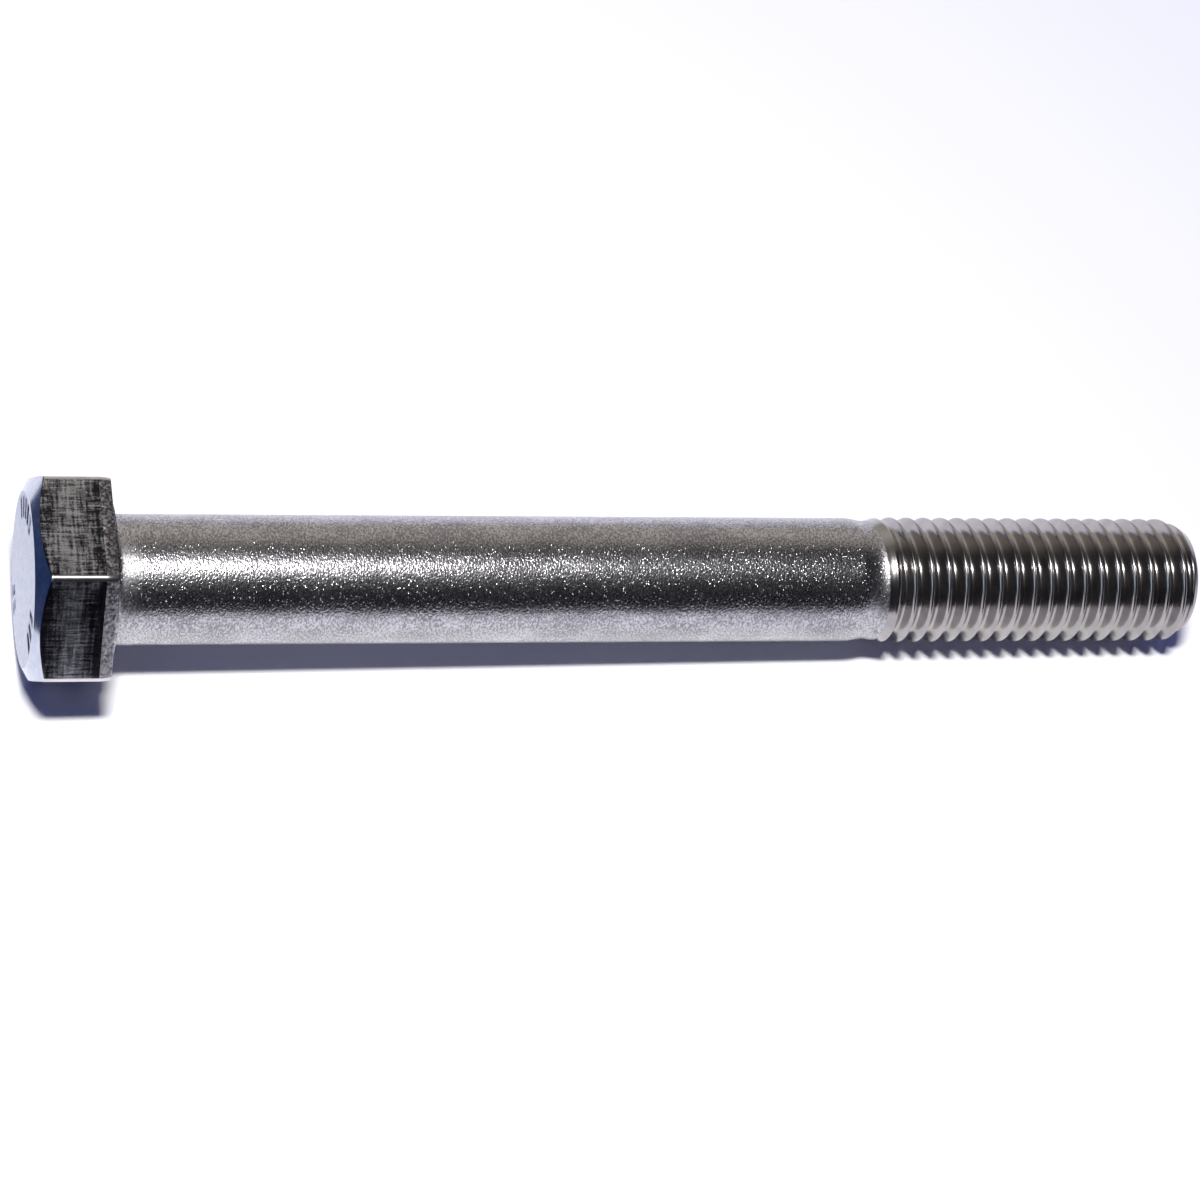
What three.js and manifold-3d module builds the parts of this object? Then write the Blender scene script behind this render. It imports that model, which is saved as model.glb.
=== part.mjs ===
// A hexagon-head bolt, M12 x 1.75 x 105, partly threaded, forged and rolled in one piece.
// Millimetres. The bolt lies along +X with its head at low X and two flats facing up and down (+-Z).
// The origin is the centre of the head's outer end face.
import * as THREE from 'three';
import { mergeVertices } from 'three/addons/utils/BufferGeometryUtils.js';
import Module from 'manifold-3d';

const wasm = await Module();
wasm.setup();

// ---- driving dimensions ----

// Head
const ACROSS_FLATS = 17.95;
const CORNER_RADIUS = 0.6; // the six corner edges are slightly rounded by the forging die
const HEAD_HEIGHT = 7.4; // from the outer end face to the bearing face
const TOP_FACE_DIAMETER = 15.8; // the circle that the corner chamfer leaves on the end face
const TOP_CHAMFER_ANGLE = THREE.MathUtils.degToRad(26); // from the end face
const LOWER_BEVEL_LENGTH = 1.0; // along the axis, on the bearing side of the hexagon
const LOWER_BEVEL_INSET = 0.12; // how far the bevel draws the hexagon in
const WASHER_FACE_DIAMETER = 15.4;
const WASHER_FACE_HEIGHT = 0.4;

// Shank
const LENGTH = 105; // from the bearing face to the tip
const SHANK_DIAMETER = 11.72;
const FILLET_RADIUS = 0.6; // between the bearing face and the shank
const SHANK_TAPER_LENGTH = 2; // from the plain shank to where the thread starts to rise

// Thread
const PITCH = 1.75;
const MAJOR_DIAMETER = 11.9;
const MINOR_DIAMETER = 9.85;
const FIRST_CREST_DIAMETER = 11.2; // where the taper ends and the first crest starts
const THREAD_LENGTH = 30; // full thread, measured back from the tip
const RUNOUT_LENGTH = 3; // where the crests rise to their full height
const TIP_CHAMFER_DEPTH = 0.95; // from the crests in to the flat end
const TIP_CHAMFER_LENGTH = 1.6; // along the axis
const LAST_CREST_TO_TIP = 0.65; // from the middle of the last crest on the +Y side

// Fineness
const ROUND_SEGMENTS = 64;
const CORNER_SEGMENTS = 3;
const THREAD_SEGMENTS = 32; // steps in each turn of the thread

// ---- places along the axis ----

const BEARING_X = HEAD_HEIGHT;
const HEXAGON_END_X = HEAD_HEIGHT - WASHER_FACE_HEIGHT;
const TIP_X = BEARING_X + LENGTH;
const LAST_CREST_X = TIP_X - LAST_CREST_TO_TIP;
const FULL_THREAD_X = TIP_X - THREAD_LENGTH;
const RUNOUT_X = FULL_THREAD_X - RUNOUT_LENGTH;
const PLAIN_SHANK_END_X = RUNOUT_X - SHANK_TAPER_LENGTH;
const OVERLAP = 1; // how far solids reach into each other, or clear of each other, before a join or cut

// ---- closed meshes to solids and back ----

function solidOf(geometry) {
  const bare = geometry.clone();
  bare.deleteAttribute('normal');
  bare.deleteAttribute('uv');
  const merged = mergeVertices(bare, 1e-5);
  return new wasm.Manifold(
    new wasm.Mesh({
      numProp: 3,
      vertProperties: new Float32Array(merged.attributes.position.array),
      triVerts: new Uint32Array(merged.index.array),
    })
  );
}

function geometryOf(solid) {
  const mesh = solid.getMesh();
  const geometry = new THREE.BufferGeometry();
  geometry.setAttribute('position', new THREE.BufferAttribute(mesh.vertProperties, 3));
  geometry.setIndex(new THREE.BufferAttribute(mesh.triVerts, 1));
  geometry.computeVertexNormals();
  return geometry;
}

// A solid of revolution about X. The profile is a list of [x, radius], from axis to axis.
function turned(profile) {
  const points = profile.map(([x, radius]) => new THREE.Vector2(radius, x));
  return solidOf(new THREE.LatheGeometry(points, ROUND_SEGMENTS).rotateZ(-Math.PI / 2));
}

// ---- head ----

// The hexagon with rounded corners, and flats square to the shape's x axis.
function hexagonShape() {
  const cornerCentre = (ACROSS_FLATS / 2 - CORNER_RADIUS) / Math.cos(Math.PI / 6);
  const shape = new THREE.Shape();
  for (let corner = 0; corner < 6; corner += 1) {
    const angle = Math.PI / 6 + (corner * Math.PI) / 3;
    const x = cornerCentre * Math.cos(angle);
    const y = cornerCentre * Math.sin(angle);
    shape.absarc(x, y, CORNER_RADIUS, angle - Math.PI / 6, angle + Math.PI / 6, false);
  }
  return shape;
}

// The hexagon bar, bevelled on its bearing side. The same bevel on its other end lies beyond
// the end face, and the chamfer envelope removes it.
function hexagonBar() {
  const bar = new THREE.ExtrudeGeometry(hexagonShape(), {
    depth: HEXAGON_END_X,
    curveSegments: CORNER_SEGMENTS,
    bevelThickness: LOWER_BEVEL_LENGTH,
    bevelSize: LOWER_BEVEL_INSET,
    bevelOffset: -LOWER_BEVEL_INSET,
    bevelSegments: 1,
  });
  return solidOf(bar.rotateY(Math.PI / 2).translate(-LOWER_BEVEL_LENGTH, 0, 0));
}

function topChamferEnvelope() {
  const faceRadius = TOP_FACE_DIAMETER / 2;
  const chamferRun = ACROSS_FLATS / 2;
  return turned([
    [0, 0],
    [0, faceRadius],
    [chamferRun * Math.tan(TOP_CHAMFER_ANGLE), faceRadius + chamferRun],
    [HEAD_HEIGHT, faceRadius + chamferRun],
    [HEAD_HEIGHT, 0],
  ]);
}

function head() {
  return hexagonBar().intersect(topChamferEnvelope());
}

// ---- washer face, fillet and plain shank ----

function underHeadFillet() {
  const steps = 5;
  const centreX = BEARING_X + FILLET_RADIUS;
  const centreRadius = SHANK_DIAMETER / 2 + FILLET_RADIUS;
  return Array.from({ length: steps + 1 }, (_, step) => {
    const angle = ((step / steps) * Math.PI) / 2;
    return [
      centreX - FILLET_RADIUS * Math.cos(angle),
      centreRadius - FILLET_RADIUS * Math.sin(angle),
    ];
  });
}

function shank() {
  return turned([
    [HEXAGON_END_X - OVERLAP, 0],
    [HEXAGON_END_X - OVERLAP, WASHER_FACE_DIAMETER / 2],
    [BEARING_X, WASHER_FACE_DIAMETER / 2],
    ...underHeadFillet(),
    [PLAIN_SHANK_END_X, SHANK_DIAMETER / 2],
    [RUNOUT_X, FIRST_CREST_DIAMETER / 2],
    [FULL_THREAD_X + OVERLAP, MINOR_DIAMETER / 2],
    [FULL_THREAD_X + OVERLAP, 0],
  ]);
}

// ---- thread ----

// One pitch of the thread's outline from the middle of a crest: the crest flat, the flank down,
// the root flat and the flank up, as [share of the pitch, radius].
const THREAD_OUTLINE = [
  [-1 / 16, MAJOR_DIAMETER / 2],
  [1 / 16, MAJOR_DIAMETER / 2],
  [20 / 48, MINOR_DIAMETER / 2],
  [28 / 48, MINOR_DIAMETER / 2],
];

// A rod with a right-hand thread, longer than needed at both ends. Its surface is a grid that
// is wound about the axis: one full turn ends one pitch further on, in the next pitch's rows.
function threadedRod() {
  const crestsToRunout = Math.ceil((LAST_CREST_X - RUNOUT_X) / PITCH);
  const startX = LAST_CREST_X - (crestsToRunout + 2) * PITCH;
  const turns = crestsToRunout + 4;
  const rowsPerTurn = THREAD_OUTLINE.length;
  const rows = turns * rowsPerTurn;
  const positions = [];
  const grid = new Map();

  const addPoint = (key, x, y, z) => {
    grid.set(key, positions.length / 3);
    positions.push(x, y, z);
  };
  for (let step = 0; step < THREAD_SEGMENTS; step += 1) {
    const turn = step / THREAD_SEGMENTS;
    const angle = turn * 2 * Math.PI;
    const extraRows = step === 0 ? rowsPerTurn : 0;
    for (let row = 0; row <= rows + extraRows; row += 1) {
      const [share, radius] = THREAD_OUTLINE[row % rowsPerTurn];
      const pitches = turn + share + Math.floor(row / rowsPerTurn);
      const y = radius * Math.cos(angle);
      const z = radius * Math.sin(angle);
      addPoint(`${step},${row}`, startX + PITCH * pitches, y, z);
    }
  }
  const point = (step, row) =>
    step === THREAD_SEGMENTS ? grid.get(`0,${row + rowsPerTurn}`) : grid.get(`${step},${row}`);

  const triangles = [];
  for (let step = 0; step < THREAD_SEGMENTS; step += 1) {
    for (let row = 0; row < rows; row += 1) {
      const a = point(step, row);
      const b = point(step + 1, row);
      const c = point(step + 1, row + 1);
      const d = point(step, row + 1);
      triangles.push(a, b, c, a, c, d);
    }
  }

  // Each ragged end is closed by a fan to a point on the axis.
  addPoint('low end', startX - PITCH, 0, 0);
  addPoint('high end', startX + PITCH * (turns + 2), 0, 0);
  for (let step = 0; step < THREAD_SEGMENTS; step += 1) {
    triangles.push(grid.get('low end'), point(step + 1, 0), point(step, 0));
    triangles.push(grid.get('high end'), point(step, rows), point(step + 1, rows));
  }
  for (let row = 0; row < rowsPerTurn; row += 1) {
    triangles.push(grid.get('low end'), point(0, row), point(0, row + 1));
    triangles.push(grid.get('high end'), point(0, rows + row + 1), point(0, rows + row));
  }

  const rod = new THREE.BufferGeometry();
  rod.setAttribute('position', new THREE.Float32BufferAttribute(positions, 3));
  rod.setIndex(triangles);
  return solidOf(rod);
}

// What the thread may fill: crests that rise along the runout, and the chamfered tip. It stands
// clear of the full crests between the two.
function threadEnvelope() {
  const clearRadius = MAJOR_DIAMETER / 2 + OVERLAP;
  const chamferSlope = TIP_CHAMFER_LENGTH / TIP_CHAMFER_DEPTH;
  return turned([
    [RUNOUT_X - OVERLAP, 0],
    [RUNOUT_X - OVERLAP, MINOR_DIAMETER / 2],
    [RUNOUT_X, FIRST_CREST_DIAMETER / 2],
    [FULL_THREAD_X, MAJOR_DIAMETER / 2],
    [FULL_THREAD_X + OVERLAP, clearRadius],
    [TIP_X - TIP_CHAMFER_LENGTH - OVERLAP * chamferSlope, clearRadius],
    [TIP_X, MAJOR_DIAMETER / 2 - TIP_CHAMFER_DEPTH],
    [TIP_X, 0],
  ]);
}

function thread() {
  return threadedRod().intersect(threadEnvelope());
}

// ---- the bolt ----

const stainlessSteel = new THREE.MeshStandardMaterial({
  color: new THREE.Color(0.62, 0.61, 0.6),
  roughness: 0.35,
  metalness: 1,
});

const hexBolt = new THREE.Mesh(geometryOf(head().add(shank()).add(thread())), stainlessSteel);
hexBolt.name = 'hex_bolt';

const bolt = new THREE.Group();
bolt.add(hexBolt);

export default bolt;
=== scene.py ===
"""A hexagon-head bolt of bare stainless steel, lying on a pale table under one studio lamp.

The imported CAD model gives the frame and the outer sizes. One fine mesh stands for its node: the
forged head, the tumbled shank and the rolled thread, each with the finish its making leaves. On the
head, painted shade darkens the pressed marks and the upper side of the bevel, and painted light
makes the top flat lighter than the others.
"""

import math

import bpy
import numpy as np
from mathutils import Matrix, Vector


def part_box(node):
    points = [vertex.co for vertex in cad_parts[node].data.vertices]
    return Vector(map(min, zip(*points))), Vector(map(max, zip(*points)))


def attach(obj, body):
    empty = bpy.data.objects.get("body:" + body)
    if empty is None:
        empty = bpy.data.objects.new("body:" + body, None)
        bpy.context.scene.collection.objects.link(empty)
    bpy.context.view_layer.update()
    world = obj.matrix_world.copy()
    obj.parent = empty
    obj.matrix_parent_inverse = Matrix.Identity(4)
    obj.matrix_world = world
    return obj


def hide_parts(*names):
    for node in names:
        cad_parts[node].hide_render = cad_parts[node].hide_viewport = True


MM = 0.001
NODE = "hex_bolt"

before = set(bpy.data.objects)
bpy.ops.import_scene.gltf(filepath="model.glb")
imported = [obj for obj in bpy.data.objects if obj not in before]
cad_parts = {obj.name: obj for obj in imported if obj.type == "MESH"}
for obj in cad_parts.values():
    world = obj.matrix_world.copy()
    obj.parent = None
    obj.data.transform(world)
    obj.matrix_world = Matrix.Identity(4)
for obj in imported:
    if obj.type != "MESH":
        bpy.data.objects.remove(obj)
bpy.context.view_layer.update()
low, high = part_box(NODE)

# ---- sizes, in millimetres ----

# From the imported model
LENGTH = (high.x - low.x) / MM
ACROSS_FLATS = (high.z - low.z) / MM

# Head
CORNER_RADIUS = 0.6
HEAD_HEIGHT = 7.4  # from the end face to the bearing face
WASHER_FACE_HEIGHT = 0.4
WASHER_FACE_RADIUS = 7.7
WASHER_EDGE = 0.04  # the worn rim of the washer face
WASHER_FOOT_OUT = 0.02  # the tiny fillet where the washer face leaves the hexagon
WASHER_FOOT_UP = 0.03
TOP_FACE_RADIUS = 7.9
TOP_CHAMFER_ANGLE = math.radians(26)  # from the end face
LOWER_BEVEL_LENGTH = 1.0  # along the axis, on the bearing side of the hexagon
LOWER_BEVEL_INSET = 0.12  # how far the bevel draws the hexagon in
BEVEL_CURVE = 1.6  # above 1, the bevel starts flush with the flats and curves in
LOWER_EDGE_INSET = LOWER_BEVEL_INSET + 0.03  # at the worn edge below the bevel
EDGE_ROUNDING = 0.06

# Shank
SHANK_RADIUS = 5.86
FILLET_RADIUS = 0.6  # between the bearing face and the shank
SHANK_TAPER = 2.0  # from the plain shank to the start of the runout

# Thread
PITCH = 1.75
MAJOR_RADIUS = 5.95
MINOR_RADIUS = 4.925
FLANK_ANGLE = math.radians(30)  # from square to the axis
CREST_HALF_WIDTH = PITCH / 16
CREST_ROUNDING = 0.19
ROOT_ROUNDING = 0.26
FIRST_CREST_RADIUS = 5.6  # where the taper ends and the first crest starts
THREAD_LENGTH = 30.0  # full thread, measured back from the tip
TIP_CHAMFER_DEPTH = 0.95  # from the crests in to the flat end
TIP_CHAMFER_LENGTH = 1.6  # along the axis
LAST_CREST_TO_TIP = 0.65  # from the middle of the last crest, at angle 0

# Runout, where the thread grows to its full depth. The last three are measured from its start.
RUNOUT = 3.0
CREST_RISE = 1.6  # the crests are at full height
FIRST_CUT = 0.5  # the grooves start to deepen
BURNISH = 0.96  # the shank's finish gives way to the thread's

# Places along the axis
HEXAGON_END = HEAD_HEIGHT - WASHER_FACE_HEIGHT
BEVEL_START = HEXAGON_END - LOWER_BEVEL_LENGTH
TIP = LENGTH
FULL_THREAD = TIP - THREAD_LENGTH
RUNOUT_START = FULL_THREAD - RUNOUT
TAPER_START = RUNOUT_START - SHANK_TAPER
LAST_CREST = TIP - LAST_CREST_TO_TIP

# ---- small maths ----


def smoothstep(start, end, value):
    t = np.clip((value - start) / (end - start), 0, 1)
    return t * t * (3 - 2 * t)


def smooth_min(a, b, width):
    """The smaller of two, with the corner between them rounded over the width."""
    h = np.maximum(width - np.abs(a - b), 0)
    return np.minimum(a, b) - h * h / (4 * width)


def smooth_max(a, b, width):
    return -smooth_min(-a, -b, width)


# ---- outlines of the bolt, as radius over angle and place ----

# Angles run from +Y towards +Z. A corner lies at 0 and at each 60 degrees from it.
SECTOR = math.pi / 3
FLAT_STEPS = 30
CORNER_STEPS = 12
CORNER_HALF_ANGLE = math.radians(1.7)  # of the closely spaced angles at each corner


def angle_samples():
    """Angles once around, close together at the hexagon's corners."""
    half = CORNER_HALF_ANGLE
    corner = np.linspace(-half, half, CORNER_STEPS, endpoint=False)
    flat = np.linspace(half, SECTOR - half, FLAT_STEPS, endpoint=False)
    sector = np.concatenate([corner, flat])
    return np.concatenate([sector + SECTOR * i for i in range(6)])


ANGLES = angle_samples()
COLUMNS = len(ANGLES)


def hexagon_radius(inset=0.0):
    """The hexagon's outline with rounded corners, drawn in by an inset."""
    apothem = ACROSS_FLATS / 2 - inset
    from_corner = (ANGLES + SECTOR / 2) % SECTOR - SECTOR / 2
    straight = apothem / np.cos(SECTOR / 2 - np.abs(from_corner))
    centre = (apothem - CORNER_RADIUS) / math.cos(SECTOR / 2)
    square = np.maximum(CORNER_RADIUS**2 - (centre * np.sin(from_corner)) ** 2, 0)
    rounded = centre * np.cos(from_corner) + np.sqrt(square)
    tangent_across = CORNER_RADIUS * math.sin(SECTOR / 2)
    tangent_out = centre + CORNER_RADIUS * math.cos(SECTOR / 2)
    tangent_angle = math.atan2(tangent_across, tangent_out)
    return np.where(np.abs(from_corner) < tangent_angle, rounded, straight)


def thread_radius(x, angle):
    """The rolled thread: narrow rounded crests, straight flanks and nearly flat roots."""
    turns = (x - LAST_CREST) / PITCH - angle / (2 * math.pi)
    from_crest = np.abs(turns - np.round(turns)) * PITCH
    flank = MAJOR_RADIUS - (from_crest - CREST_HALF_WIDTH) / math.tan(FLANK_ANGLE)
    groove = smooth_max(flank, MINOR_RADIUS, ROOT_ROUNDING)
    return smooth_min(groove, MAJOR_RADIUS, CREST_ROUNDING)


def rod_radius(x, angle):
    """The shank, its taper, the thread and the chamfered tip.

    Along the runout the crests rise first, and the grooves between them deepen after that.
    """
    taper = smoothstep(TAPER_START, RUNOUT_START, x)
    rise = smoothstep(RUNOUT_START, RUNOUT_START + CREST_RISE, x)
    crest = SHANK_RADIUS + (FIRST_CREST_RADIUS - SHANK_RADIUS) * taper
    crest = crest + (MAJOR_RADIUS - FIRST_CREST_RADIUS) * rise
    cut = smoothstep(RUNOUT_START + FIRST_CUT, FULL_THREAD, x)
    radius = crest - (MAJOR_RADIUS - thread_radius(x, angle)) * cut
    chamfer = MAJOR_RADIUS - TIP_CHAMFER_DEPTH * (1 - (TIP - x) / TIP_CHAMFER_LENGTH)
    return smooth_min(radius, chamfer, EDGE_ROUNDING)


# ---- the bolt's mesh, ring by ring ----

FACE, MARK, CHAMFER, FLATS, CORNER, BEVEL, SHANK, THREAD = range(8)


class Rings:
    """Rings of points from the middle of the head's end face to the middle of the tip."""

    def __init__(self):
        self.x = []
        self.radius = []
        self.finish = []

    def add(self, x, radius, finish):
        self.x.append(np.broadcast_to(np.asarray(x, float), COLUMNS))
        self.radius.append(np.broadcast_to(np.asarray(radius, float), COLUMNS))
        self.finish.append(finish)

    def __len__(self):
        return len(self.x)


# Generic marks on the end face: plain dashes pressed in near the rim, in three groups.
MARK_RADIUS = 6.5
MARK_HALF_LENGTH = 0.95
MARK_HALF_ANGLE = math.radians(3.0)
MARK_DEPTH = 0.2
MARK_EDGE = 0.12  # half the width of a dash's sloping side
MARK_SPACING = math.radians(13)
MARK_GROUPS = (  # the angle of each group's middle, and its number of dashes
    (math.radians(48), 5),
    (math.radians(165), 3),
    (math.radians(285), 2),
)


def mark_depth(radius):
    """How deep the end face is pressed in at this radius, all the way around."""
    depth = np.zeros(COLUMNS)
    from_middle = abs(radius - MARK_RADIUS)
    across = smoothstep(MARK_HALF_LENGTH + MARK_EDGE, MARK_HALF_LENGTH - MARK_EDGE, from_middle)
    edge = MARK_EDGE / MARK_RADIUS
    for middle, count in MARK_GROUPS:
        for index in range(count):
            centre = middle + (index - (count - 1) / 2) * MARK_SPACING
            away = np.abs((ANGLES - centre + math.pi) % (2 * math.pi) - math.pi)
            along = smoothstep(MARK_HALF_ANGLE + edge, MARK_HALF_ANGLE - edge, away)
            depth = np.maximum(depth, MARK_DEPTH * across * along)
    return depth


def add_end_face(rings):
    """The flat end face, with rings close together in the band of the marks."""
    face_radii = np.concatenate([
        np.linspace(0.4, 4.8, 12),
        np.linspace(5.0, 7.6, 27),
        [TOP_FACE_RADIUS - EDGE_ROUNDING],
    ])
    for radius in face_radii:
        rings.add(mark_depth(radius), radius, FACE)


def add_top_chamfer(rings):
    """The conical chamfer, from the end face's circle to where it meets each flat or corner."""
    outline = hexagon_radius()
    run = outline - TOP_FACE_RADIUS
    rise = math.tan(TOP_CHAMFER_ANGLE)
    for share in (0.03, 0.07, 0.2, 0.35, 0.5, 0.65, 0.8, 0.9, 0.97):
        rings.add(run * share * rise, TOP_FACE_RADIUS + run * share, CHAMFER)
    return run * rise


def add_flats(rings, meeting):
    """The hexagon's sides, from where the chamfer meets them, and the bevel below them."""
    outline = hexagon_radius()
    for share in (0.01, 0.03, 0.08, 0.2, 0.4, 0.6, 0.8, 0.93, 0.98):
        rings.add(meeting + (BEVEL_START - meeting) * share, outline, FLATS)
    for share in (0.02, 0.1, 0.3, 0.5, 0.7, 0.9, 0.97):
        x = BEVEL_START + LOWER_BEVEL_LENGTH * share
        rings.add(x, hexagon_radius(LOWER_BEVEL_INSET * share**BEVEL_CURVE), BEVEL)
    rings.add(HEXAGON_END, hexagon_radius(LOWER_EDGE_INSET), BEVEL)


FILLET_RINGS = 9


def add_bearing_side(rings):
    """The hexagon's underside, the washer face and the fillet up to the shank."""
    outline = hexagon_radius(LOWER_EDGE_INSET)
    foot = WASHER_FACE_RADIUS + WASHER_FOOT_OUT
    for share in (0.1, 0.5, 0.9):
        rings.add(HEXAGON_END, outline + (foot - outline) * share, BEVEL)
    rings.add(HEXAGON_END + WASHER_FOOT_UP, WASHER_FACE_RADIUS, BEVEL)
    rings.add(HEAD_HEIGHT - WASHER_EDGE, WASHER_FACE_RADIUS, BEVEL)
    rings.add(HEAD_HEIGHT, WASHER_FACE_RADIUS - WASHER_EDGE, BEVEL)
    fillet_edge = SHANK_RADIUS + FILLET_RADIUS
    face_width = WASHER_FACE_RADIUS - fillet_edge
    for share in (0.1, 0.4, 0.7):
        rings.add(HEAD_HEIGHT, WASHER_FACE_RADIUS - face_width * share, BEVEL)
    for angle in np.linspace(0, math.pi / 2, FILLET_RINGS):
        x = HEAD_HEIGHT + FILLET_RADIUS * (1 - math.cos(angle))
        rings.add(x, fillet_edge - FILLET_RADIUS * math.sin(angle), SHANK)


# Around the thread the rings wind with it, so that each crest and root follows its own rings.
# The wound zone starts on the plain shank and ends at the tip's edge. Its first rings lean over
# into the winding, and its last rings come back square to the axis.
SHANK_START = HEAD_HEIGHT + FILLET_RADIUS + 0.5
ZONE_START = TAPER_START - 0.3
WINDING = PITCH * ANGLES / (2 * math.pi)  # how far along the thread has wound at each angle
THREAD_PHASES = (0, 0.03, 0.0625, 0.095, 0.14, 0.2, 0.27, 0.34, 0.4, 0.45,
                 0.5, 0.55, 0.6, 0.66, 0.73, 0.8, 0.86, 0.905, 0.9375, 0.97)
SHANK_RINGS = 36
LEAD_IN_RINGS = 14
LEAD_OUT_RINGS = 24


def add_rod_ring(rings, x):
    """One ring of the shank or the thread, at one place or at a place for each angle."""
    finish = SHANK if np.mean(x) < RUNOUT_START + BURNISH else THREAD
    rings.add(x, rod_radius(x, ANGLES), finish)


def add_rod(rings):
    """The shank, the thread and the tip. Gives the numbers of the rings in the wound zone."""
    for x in np.linspace(SHANK_START, ZONE_START, SHANK_RINGS):
        add_rod_ring(rings, x)
    zone_first = len(rings) - 1

    crests = math.ceil((LAST_CREST - RUNOUT_START) / PITCH)
    first_row = LAST_CREST - crests * PITCH + WINDING
    for step in range(1, LEAD_IN_RINGS):
        add_rod_ring(rings, ZONE_START + (first_row - ZONE_START) * step / LEAD_IN_RINGS)
    for crest in range(crests - 1):
        for phase in THREAD_PHASES:
            add_rod_ring(rings, first_row + PITCH * (crest + phase))
    last_row = rings.x[-1]
    for step in range(1, LEAD_OUT_RINGS + 1):
        add_rod_ring(rings, last_row + (TIP - last_row) * step / LEAD_OUT_RINGS)
    zone = range(zone_first, len(rings))

    tip_radius = rings.radius[-1]
    for share in (0.97, 0.9, 0.7, 0.45, 0.2, 0.08):
        rings.add(TIP, tip_radius * share, THREAD)
    return zone


def finish_at(rings, ring, column):
    """The finish of a mesh face, with the pressed marks and the hexagon's corners set apart."""
    finish = rings.finish[ring]
    if finish == FACE and rings.x[ring][column] > MARK_DEPTH / 3:
        return MARK
    on_side = finish in (FLATS, BEVEL) and rings.x[ring][column] < HEXAGON_END
    if on_side and column % (CORNER_STEPS + FLAT_STEPS) < CORNER_STEPS:
        return CORNER
    return finish


def band_faces(rings, zone):
    """Quads from each ring to the next. Along the wound zone the last column stays open."""
    faces = []
    for ring in range(len(rings) - 1):
        columns = COLUMNS - 1 if ring in zone[:-1] else COLUMNS
        for column in range(columns):
            a = ring * COLUMNS + column
            b = ring * COLUMNS + (column + 1) % COLUMNS
            corners = (a, b, b + COLUMNS, a + COLUMNS)
            faces.append((corners, finish_at(rings, ring + 1, column)))
    return faces


def seam_faces(rings, zone):
    """Triangles that close the wound zone's open column, whose two sides don't step together."""
    x = np.ravel(rings.x)
    left = [ring * COLUMNS + COLUMNS - 1 for ring in zone]
    right = [ring * COLUMNS for ring in zone]
    end = len(zone) - 1
    faces = []
    i = j = 0
    while i < end or j < end:
        step_left = j == end or (i < end and x[left[i + 1]] <= x[right[j + 1]])
        corners = (left[i], right[j], left[i + 1] if step_left else right[j + 1])
        faces.append((corners, rings.finish[zone[i]]))
        if step_left:
            i += 1
        else:
            j += 1
    return faces


def end_fans(rings):
    """Fans of triangles at the middles of the end face and the tip."""
    head_middle = len(rings) * COLUMNS
    tip_middle = head_middle + 1
    last_ring = head_middle - COLUMNS
    faces = []
    for column in range(COLUMNS):
        after = (column + 1) % COLUMNS
        faces.append(((head_middle, after, column), FACE))
        faces.append(((tip_middle, last_ring + column, last_ring + after), THREAD))
    return faces


def all_points(rings):
    """The rings' points in order, then the middles of the end face and the tip."""
    x = np.array(rings.x)
    radius = np.array(rings.radius)
    points = np.stack([x, radius * np.cos(ANGLES), radius * np.sin(ANGLES)], -1).reshape(-1, 3)
    return np.vstack([points, [[0, 0, 0], [TIP, 0, 0]]])


def bolt_mesh():
    """The whole bolt as one closed mesh, each face numbered with its finish."""
    rings = Rings()
    add_end_face(rings)
    meeting = add_top_chamfer(rings)
    add_flats(rings, meeting)
    add_bearing_side(rings)
    zone = add_rod(rings)

    faces = band_faces(rings, zone) + seam_faces(rings, zone) + end_fans(rings)
    mesh = bpy.data.meshes.new(NODE + "_fine")
    mesh.from_pydata((all_points(rings) * MM).tolist(), [], [corners for corners, _ in faces])
    mesh.polygons.foreach_set("material_index", [finish for _, finish in faces])
    mesh.polygons.foreach_set("use_smooth", [True] * len(faces))
    add_flat_map(mesh)
    mesh.update()
    return mesh


FLAT_MAP = "flats"
FLAT_SPACING = 40.0  # keeps the sides apart on the map


def add_flat_map(mesh):
    """A UV map in millimetres: along the bolt, and across each side of the hexagon."""
    layer = mesh.uv_layers.new(name=FLAT_MAP)
    for polygon in mesh.polygons:
        centre = polygon.center
        angle = math.atan2(centre.z, centre.y)
        side = math.floor(angle / SECTOR)
        middle = (side + 0.5) * SECTOR
        across = Vector((0, -math.sin(middle), math.cos(middle)))
        for loop in polygon.loop_indices:
            place = mesh.vertices[mesh.loops[loop].vertex_index].co / MM
            layer.data[loop].uv = (place.x, place.dot(across) + FLAT_SPACING * side)


# ---- materials ----

FLAT_EDGE_START = 0.3  # along the bolt, a little before the flats begin
TOP_FLAT_LOW = ACROSS_FLATS / 2 - 1.0  # the top flat is above this height over the axis


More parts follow.
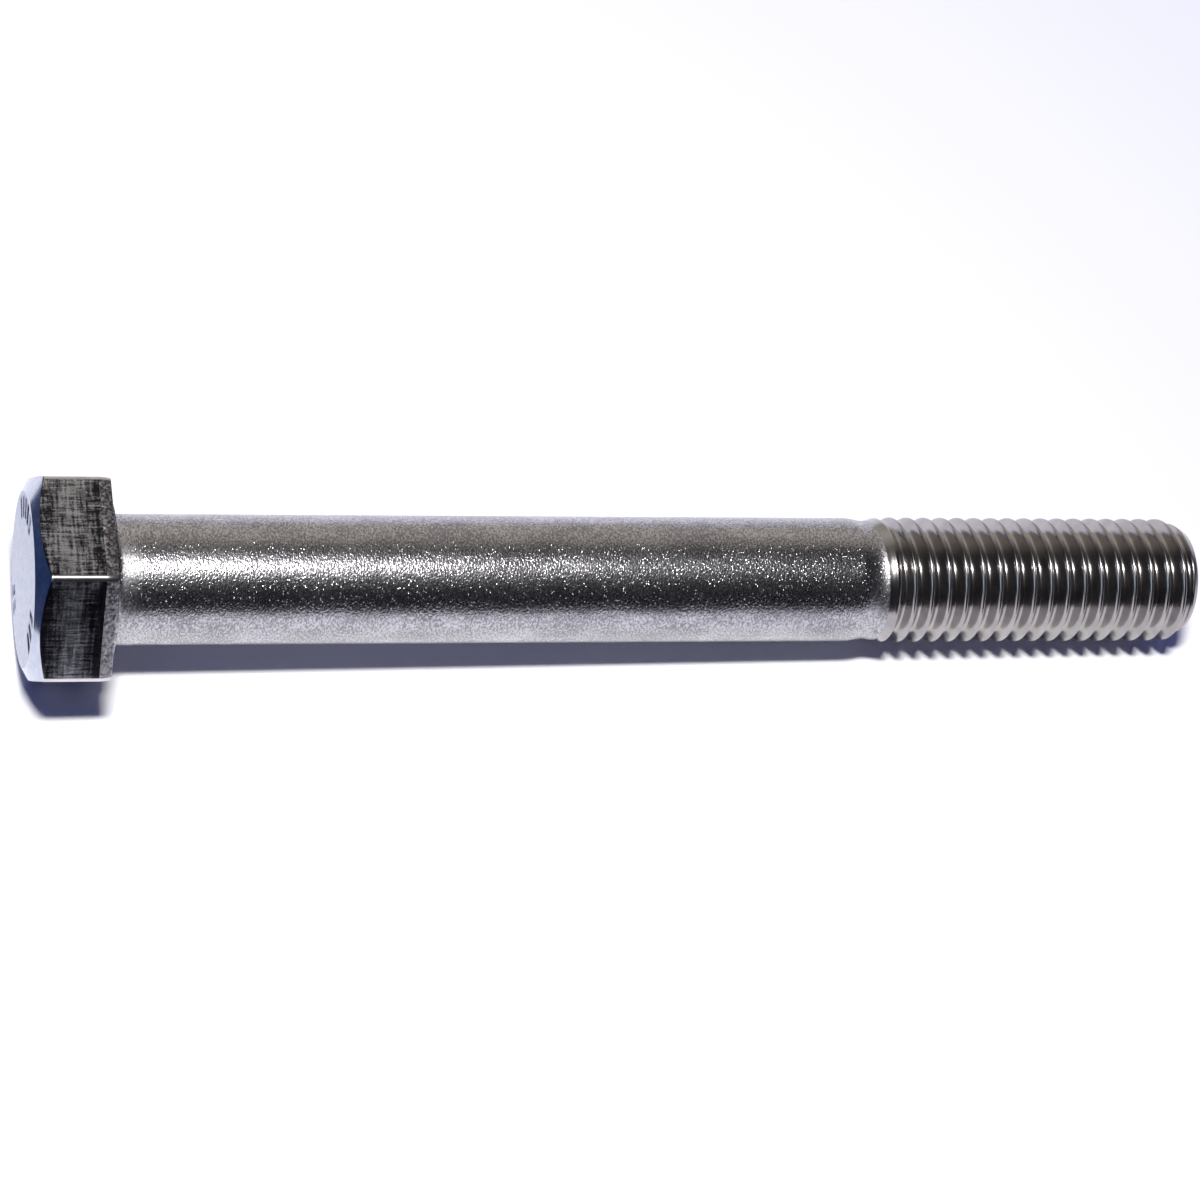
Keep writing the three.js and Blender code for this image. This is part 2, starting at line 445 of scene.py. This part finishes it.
class Finish:
    """A steel finish: one Principled shader, with nodes added by name."""

    def __init__(self, name):
        self.material = bpy.data.materials.new(name)
        self.material.use_nodes = True
        self.tree = self.material.node_tree
        self.shader = self.tree.nodes["Principled BSDF"]
        self.shader.inputs["Metallic"].default_value = 1.0

    def node(self, kind, **inputs):
        """A new node. Its inputs are given by name, with _ for each space."""
        node = self.tree.nodes.new(kind)
        for name, value in inputs.items():
            self.put(node.inputs[name.replace("_", " ")], value)
        return node

    def put(self, socket, value):
        """Links a socket to the value if that is a socket too, and sets it otherwise."""
        if isinstance(value, bpy.types.NodeSocket):
            self.tree.links.new(value, socket)
        else:
            socket.default_value = value

    def object_place(self, stretch=(1, 1, 1)):
        """Places in millimetres, stretched along the bolt's axes."""
        place = self.node("ShaderNodeTexCoord").outputs["Object"]
        scale = [s / MM for s in stretch]
        return self.node("ShaderNodeMapping", Vector=place, Scale=scale).outputs[0]

    def flat_place(self, stretch):
        """Places in millimetres on the head's flats: along the bolt, then across the flat."""
        uv = self.tree.nodes.new("ShaderNodeUVMap")
        uv.uv_map = FLAT_MAP
        return self.node("ShaderNodeMapping", Vector=uv.outputs[0], Scale=(*stretch, 1)).outputs[0]

    def along(self):
        """The place along the bolt in millimetres."""
        return self.node("ShaderNodeSeparateXYZ", Vector=self.object_place()).outputs[0]

    def height(self):
        """The height above the bolt's axis in millimetres."""
        return self.node("ShaderNodeSeparateXYZ", Vector=self.object_place()).outputs[2]

    def noise(self, place, scale=1.0, detail=2.0, rough=0.5):
        """Soft noise around 0.5. Scale 1 makes patches about a millimetre across."""
        node = self.node("ShaderNodeTexNoise", Vector=place, Scale=scale, Detail=detail)
        node.inputs["Roughness"].default_value = rough
        return node.outputs["Fac"]

    def span(self, value, start, end, low=0.0, high=1.0):
        """Maps value from start..end to low..high, held at both ends."""
        node = self.node("ShaderNodeMapRange", Value=value, From_Min=start, From_Max=end)
        node.inputs["To Min"].default_value = low
        node.inputs["To Max"].default_value = high
        return node.outputs[0]

    def maths(self, operation, a, b):
        node = self.tree.nodes.new("ShaderNodeMath")
        node.operation = operation
        self.put(node.inputs[0], a)
        self.put(node.inputs[1], b)
        return node.outputs[0]

    def pits(self, place):
        """Scattered small round dents: 1 between them, and down to 0 in the deepest."""
        cells = self.node("ShaderNodeTexVoronoi", Vector=place, Scale=1.0)
        dip = self.span(cells.outputs["Distance"], 0.08, 0.34, 1.0, 0.0)
        depth = self.node("ShaderNodeSeparateXYZ", Vector=cells.outputs["Color"]).outputs[0]
        return self.maths("SUBTRACT", 1.0, self.maths("MULTIPLY", dip, depth))

    def flat_edges(self):
        """How far along the bolt the nearer end of a flat is, in millimetres."""
        along = self.along()
        from_chamfer = self.maths("SUBTRACT", along, FLAT_EDGE_START)
        from_bevel = self.maths("SUBTRACT", BEVEL_START, along)
        return self.maths("MINIMUM", from_chamfer, from_bevel)

    def colour(self, share, dark, light):
        """Sets the steel's colour, from dark where share is 0 to light where it is 1."""
        node = self.tree.nodes.new("ShaderNodeMix")
        node.data_type = "RGBA"
        self.put(node.inputs["Factor"], share)
        node.inputs["A"].default_value = (*dark, 1)
        node.inputs["B"].default_value = (*light, 1)
        self.put(self.shader.inputs["Base Color"], node.outputs["Result"])

    def roughness(self, value):
        self.put(self.shader.inputs["Roughness"], value)

    def bumps(self, *heights):
        """Each height is (socket, depth in millimetres)."""
        normal = None
        for height, depth in heights:
            node = self.node("ShaderNodeBump", Height=height, Distance=depth * MM)
            node.inputs["Strength"].default_value = 1.0
            if normal is not None:
                self.put(node.inputs["Normal"], normal)
            normal = node.outputs[0]
        self.put(self.shader.inputs["Normal"], normal)


def end_face_finish():
    """The die-pressed end face: smooth, with faint stains."""
    finish = Finish("steel_end_face")
    stain = finish.noise(finish.object_place(), scale=0.9, detail=4)
    finish.colour(finish.span(stain, 0.3, 0.7), (0.27, 0.30, 0.39), (0.34, 0.375, 0.475))
    finish.roughness(finish.span(stain, 0.3, 0.7, 0.22, 0.32))
    grain = finish.noise(finish.object_place(), scale=5.0, detail=3)
    finish.bumps((grain, 0.004))
    return finish.material


def mark_finish():
    """The pressed marks, duller than the face around them, and darker with painted shade."""
    finish = Finish("steel_mark_painted_shade")
    grain = finish.noise(finish.object_place(), scale=3.0, detail=3)
    # Painted shade: the marks' colour is darker than the end face's.
    finish.colour(finish.span(grain, 0.3, 0.7), (0.12, 0.14, 0.20), (0.34, 0.38, 0.50))
    finish.roughness(0.45)
    finish.bumps((grain, 0.05))
    return finish.material


def chamfer_finish():
    """The trimmed chamfer: a turned, smooth cone."""
    finish = Finish("steel_chamfer")
    stain = finish.noise(finish.object_place(), scale=1.4, detail=3)
    finish.colour(finish.span(stain, 0.3, 0.7), (0.44, 0.47, 0.56), (0.56, 0.59, 0.68))
    finish.roughness(finish.span(stain, 0.3, 0.7, 0.11, 0.16))
    grain = finish.noise(finish.object_place(), scale=4.0, detail=2)
    finish.bumps((grain, 0.004))
    return finish.material


def flats_finish():
    """The flats, drawn along the bolt by the trimming die and scuffed across. Painted light makes
    the top flat lighter.
    """
    finish = Finish("steel_flats")
    drawn = finish.noise(finish.flat_place((0.45, 4.5)), detail=3, rough=0.6)
    scuffed = finish.noise(finish.flat_place((3.0, 0.3)), detail=3, rough=0.6)
    grain = finish.noise(finish.flat_place((5.0, 5.0)), detail=2)
    lines = finish.maths("ADD", drawn, scuffed)
    cross = finish.maths("ADD", lines, finish.maths("MULTIPLY", grain, 0.5))
    # The flats are darker towards both of their ends.
    edge_shade = finish.span(finish.flat_edges(), 0.2, 2.4, -0.22, 0.06)
    # Painted light: the top flat gets a lighter colour and stronger lines than the lower flats.
    top_flat = finish.span(finish.height(), TOP_FLAT_LOW, TOP_FLAT_LOW + 0.8)
    painted_top_contrast = finish.span(top_flat, 0.0, 1.0, 0.4, 1.15)
    wear_with_painted_contrast = finish.maths("MULTIPLY", finish.maths("SUBTRACT", cross, 1.25), painted_top_contrast)
    painted_top_flat_light = finish.span(top_flat, 0.0, 1.0, -0.03, 0.06)
    shade = finish.maths("ADD", wear_with_painted_contrast, finish.maths("ADD", edge_shade, painted_top_flat_light))
    finish.colour(finish.span(shade, -0.16, 0.24), (0.06, 0.06, 0.07), (0.92, 0.95, 0.99))
    finish.roughness(finish.span(cross, 1.0, 1.5, 0.14, 0.22))
    finish.bumps((drawn, 0.005), (scuffed, 0.003))
    return finish.material


def corner_finish():
    """The hexagon's rounded corners, burnished by the die."""
    finish = Finish("steel_corner")
    stain = finish.noise(finish.object_place((0.8, 0.8, 0.8)), detail=2)
    finish.colour(finish.span(stain, 0.3, 0.7), (0.60, 0.57, 0.57), (0.72, 0.70, 0.70))
    finish.roughness(0.22)
    grain = finish.noise(finish.object_place((1.0, 3.0, 3.0)), detail=2)
    finish.bumps((grain, 0.003))
    return finish.material


def bevel_finish():
    """The bearing side of the head: rough where the metal broke from the die, with painted shade on
    top.
    """
    finish = Finish("steel_bevel")
    lumps = finish.noise(finish.object_place(), scale=3.6, detail=4, rough=0.65)
    # Painted shade: the bevel's colour is darker on the head's upper side.
    painted_upper_shade = finish.span(finish.height(), TOP_FLAT_LOW, ACROSS_FLATS / 4 - 1.0, -0.12, 0.0)
    shade = finish.maths("ADD", lumps, painted_upper_shade)
    finish.colour(finish.span(shade, 0.32, 0.66), (0.08, 0.072, 0.075), (0.64, 0.63, 0.66))
    finish.roughness(finish.span(lumps, 0.3, 0.7, 0.30, 0.42))
    finish.bumps((lumps, 0.05))
    return finish.material


def shank_finish():
    """The tumbled shank: a smooth skin broken up by fine dents, dull beside the head and thread."""
    finish = Finish("steel_shank")
    along = finish.along()
    after_head = finish.span(along, HEAD_HEIGHT + 0.8, HEAD_HEIGHT + 2.6)
    before_thread = finish.span(along, RUNOUT_START, TAPER_START + 0.4)
    dull = finish.maths("SUBTRACT", 1.0, finish.maths("MULTIPLY", after_head, before_thread))
    grain = finish.noise(finish.object_place((7.0, 4.5, 4.5)), detail=1)
    dents = finish.maths("MULTIPLY", finish.span(grain, 0.35, 0.7), after_head)
    pits = finish.pits(finish.object_place((5.0, 3.8, 3.8)))
    speckle = finish.noise(finish.object_place((6.5, 3.6, 3.6)), detail=1)
    stain = finish.noise(finish.object_place((0.25, 0.4, 0.4)), detail=4)
    shade = finish.maths("ADD", speckle, finish.maths("MULTIPLY", stain, 0.4))
    finish.colour(finish.span(shade, 0.58, 0.84), (0.27, 0.265, 0.28), (0.59, 0.58, 0.60))
    finish.roughness(finish.span(dull, 0.0, 1.0, 0.245, 0.36))
    finish.bumps((dents, 0.012), (pits, 0.032))
    return finish.material


def thread_finish():
    """The rolled thread: burnished bright, with faint rolling lines around it."""
    finish = Finish("steel_thread")
    stain = finish.noise(finish.object_place((0.6, 0.6, 0.6)), detail=3)
    finish.colour(finish.span(stain, 0.3, 0.7), (0.36, 0.34, 0.335), (0.46, 0.44, 0.43))
    finish.roughness(finish.span(stain, 0.3, 0.7, 0.18, 0.22))
    rolled = finish.noise(finish.object_place((9.0, 0.3, 0.3)), detail=2)
    grain = finish.noise(finish.object_place((2.0, 2.0, 2.0)), detail=2)
    finish.bumps((rolled, 0.0015), (grain, 0.004))
    return finish.material


# In the order of the finishes' numbers, FACE to THREAD
MAKERS = (end_face_finish, mark_finish, chamfer_finish, flats_finish, corner_finish,
          bevel_finish, shank_finish, thread_finish)


def build_bolt():
    """The one piece of the object, which stands for the CAD node."""
    bolt = bpy.data.objects.new("bolt", bolt_mesh())
    bpy.context.scene.collection.objects.link(bolt)
    for make in MAKERS:
        bolt.data.materials.append(make())
    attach(bolt, "root")
    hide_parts(NODE)


# ---- table, light and camera ----

# The bolt rests on the bearing-side edge of the lowest flat and on a crest near the tip.
REST_HEAD = (BEVEL_START, -ACROSS_FLATS / 2)
REST_TIP = (LAST_CREST, -MAJOR_RADIUS)
TABLE_TILT = math.atan2(REST_TIP[1] - REST_HEAD[1], REST_TIP[0] - REST_HEAD[0])
TABLE_FRONT = -120.0  # near enough that the steel reflects the dark room beyond it
TABLE_BACK = 1500.0
TABLE_SIDE = 1500.0


def card(name, corners):
    """One flat face through four corners, given in millimetres."""
    mesh = bpy.data.meshes.new(name)
    mesh.from_pydata([[c * MM for c in corner] for corner in corners], [], [(0, 1, 2, 3)])
    made = bpy.data.objects.new(name, mesh)
    bpy.context.scene.collection.objects.link(made)
    return made


def plain_material(name, **inputs):
    """A plain shader for the studio. Its inputs are given by name, with _ for each space."""
    material = bpy.data.materials.new(name)
    material.use_nodes = True
    shader = material.node_tree.nodes["Principled BSDF"]
    for socket, value in inputs.items():
        shader.inputs[socket.replace("_", " ")].default_value = value
    return material


def build_table():
    """A white table, tilted to touch the bolt at both of its resting places."""
    table = card("table", (
        (-TABLE_SIDE, TABLE_FRONT, 0),
        (TABLE_SIDE, TABLE_FRONT, 0),
        (TABLE_SIDE, TABLE_BACK, 0),
        (-TABLE_SIDE, TABLE_BACK, 0),
    ))
    table.location = (REST_HEAD[0] * MM, 0, REST_HEAD[1] * MM)
    table.rotation_euler = (0, -TABLE_TILT, 0)
    table.data.materials.append(plain_material(
        "table_white", Base_Color=(0.93, 0.93, 0.94, 1), Roughness=0.9, Specular_IOR_Level=0.1))


def facing(direction):
    """A turn whose -Z looks along a direction, with its X as near the bolt's axis as it can be."""
    forward = direction.normalized()
    axis = Vector((1, 0, 0))
    right = (axis - forward * axis.dot(forward)).normalized()
    return Matrix((right, right.cross(forward), -forward)).transposed().to_4x4()


LAMP_SPOT = Vector((-42.0, -68.0, 480.0))
LAMP_LENGTH = 95.0
LAMP_WIDTH = 42.0
LAMP_POWER = 2.95  # watts


def build_lamp():
    """One lamp almost overhead, a little towards the viewer and past the head."""
    data = bpy.data.lights.new("lamp", "AREA")
    data.shape = "ELLIPSE"
    data.size = LAMP_LENGTH * MM
    data.size_y = LAMP_WIDTH * MM
    data.energy = LAMP_POWER
    data.color = (1.0, 0.99, 0.98)
    lamp = bpy.data.objects.new("lamp", data)
    lamp.matrix_world = Matrix.Translation(LAMP_SPOT * MM) @ facing(-LAMP_SPOT)
    bpy.context.scene.collection.objects.link(lamp)


FLAG_PLACE = -14.0  # along the bolt's axis, beyond the head's end face
FLAG_HEIGHT = 22.0
FLAG_FRONT = -60.0
FLAG_BACK = 120.0


def build_flag():
    """A dark card beyond the head's end, seen only in the steel's reflections."""
    bottom = REST_HEAD[1]
    top = bottom + FLAG_HEIGHT
    flag = card("flag", (
        (FLAG_PLACE, FLAG_FRONT, bottom),
        (FLAG_PLACE, FLAG_BACK, bottom),
        (FLAG_PLACE, FLAG_BACK, top),
        (FLAG_PLACE, FLAG_FRONT, top),
    ))
    flag.data.materials.append(plain_material(
        "flag_navy", Base_Color=(0, 0, 0, 1), Emission_Color=(0.008, 0.028, 0.10, 1),
        Emission_Strength=1.0))
    flag.visible_camera = False
    flag.visible_diffuse = False
    flag.visible_shadow = False


class Surroundings:
    """The world's shader, with nodes added by name."""

    def __init__(self):
        world = bpy.data.worlds.new("studio")
        bpy.context.scene.world = world
        world.use_nodes = True
        self.tree = world.node_tree
        coordinates = self.tree.nodes.new("ShaderNodeTexCoord")
        split = self.tree.nodes.new("ShaderNodeSeparateXYZ")
        self.tree.links.new(coordinates.outputs["Generated"], split.inputs[0])
        self.direction = split.outputs
        self.rays = self.tree.nodes.new("ShaderNodeLightPath").outputs

    def span(self, value, start, end):
        """0 where value is at start and 1 where it is at end, smooth between them."""
        node = self.tree.nodes.new("ShaderNodeMapRange")
        node.interpolation_type = "SMOOTHSTEP"
        node.inputs["From Min"].default_value = start
        node.inputs["From Max"].default_value = end
        self.tree.links.new(value, node.inputs["Value"])
        return node.outputs[0]

    def both(self, a, b):
        """1 only where both shares are 1."""
        node = self.tree.nodes.new("ShaderNodeMath")
        node.operation = "MULTIPLY"
        self.tree.links.new(a, node.inputs[0])
        self.tree.links.new(b, node.inputs[1])
        return node.outputs[0]

    def plain(self, colour):
        """A background of one colour."""
        node = self.tree.nodes.new("ShaderNodeBackground")
        node.inputs["Color"].default_value = (*colour, 1)
        return node.outputs[0]

    def blend(self, share, a, b):
        """Shader a where share is 0, and b where it is 1."""
        node = self.tree.nodes.new("ShaderNodeMixShader")
        self.tree.links.new(share, node.inputs[0])
        self.tree.links.new(a, node.inputs[1])
        self.tree.links.new(b, node.inputs[2])
        return node.outputs[0]

    def show(self, shader):
        self.tree.links.new(shader, self.tree.nodes["World Output"].inputs["Surface"])


def build_surroundings():
    """A room that is dark in front of the bolt, beige behind it, and light past its head.

    The steel reflects that room. The table is filled with blue light instead, more from behind,
    and the camera sees plain white beyond the table.
    """
    room = Surroundings()
    across, depth, height = room.direction
    front = room.plain((0.016, 0.016, 0.022))
    rear = room.plain((0.60, 0.555, 0.51))
    ramp = room.blend(room.span(depth, 0.30, 0.88), front, rear)
    past_head = room.both(room.span(across, -0.6, -0.85), room.span(height, 0.05, 0.25))
    window = room.blend(room.span(depth, -0.3, 0.15), room.plain((0.85, 1.02, 1.25)), ramp)
    reflected = room.blend(past_head, ramp, window)
    front_fill = room.plain((0.003, 0.01, 0.10))
    rear_fill = room.plain((0.13, 0.14, 0.42))
    fill = room.blend(room.span(depth, -0.1, 0.9), front_fill, rear_fill)
    lit = room.blend(room.rays["Is Diffuse Ray"], reflected, fill)
    room.show(room.blend(room.rays["Is Camera Ray"], lit, room.plain((0.96, 0.96, 0.97))))


# The camera, in millimetres from the middle of the head's end face
CAMERA_SPOT = Vector((-37.95, -150.04, 254.40))
CAMERA_AIM = Vector((52.98, -2.20, 0.0))
CAMERA_ROLL = math.radians(-0.1)
CAMERA_LENS = 99.7
SENSOR_WIDTH = 36.0


def build_camera():
    """Looks down on the bolt from the front and the head's side, with the bolt level."""
    turn = facing(CAMERA_AIM - CAMERA_SPOT)
    data = bpy.data.cameras.new("camera")
    data.lens = CAMERA_LENS
    data.sensor_width = SENSOR_WIDTH
    data.clip_start = 0.01
    camera = bpy.data.objects.new("camera", data)
    roll = Matrix.Rotation(CAMERA_ROLL, 4, "Z")
    camera.matrix_world = Matrix.Translation(CAMERA_SPOT * MM) @ turn @ roll
    bpy.context.scene.collection.objects.link(camera)
    bpy.context.scene.camera = camera


build_bolt()
build_table()
build_lamp()
build_flag()
build_surroundings()
build_camera()
bpy.context.scene.view_settings.view_transform = "Standard"
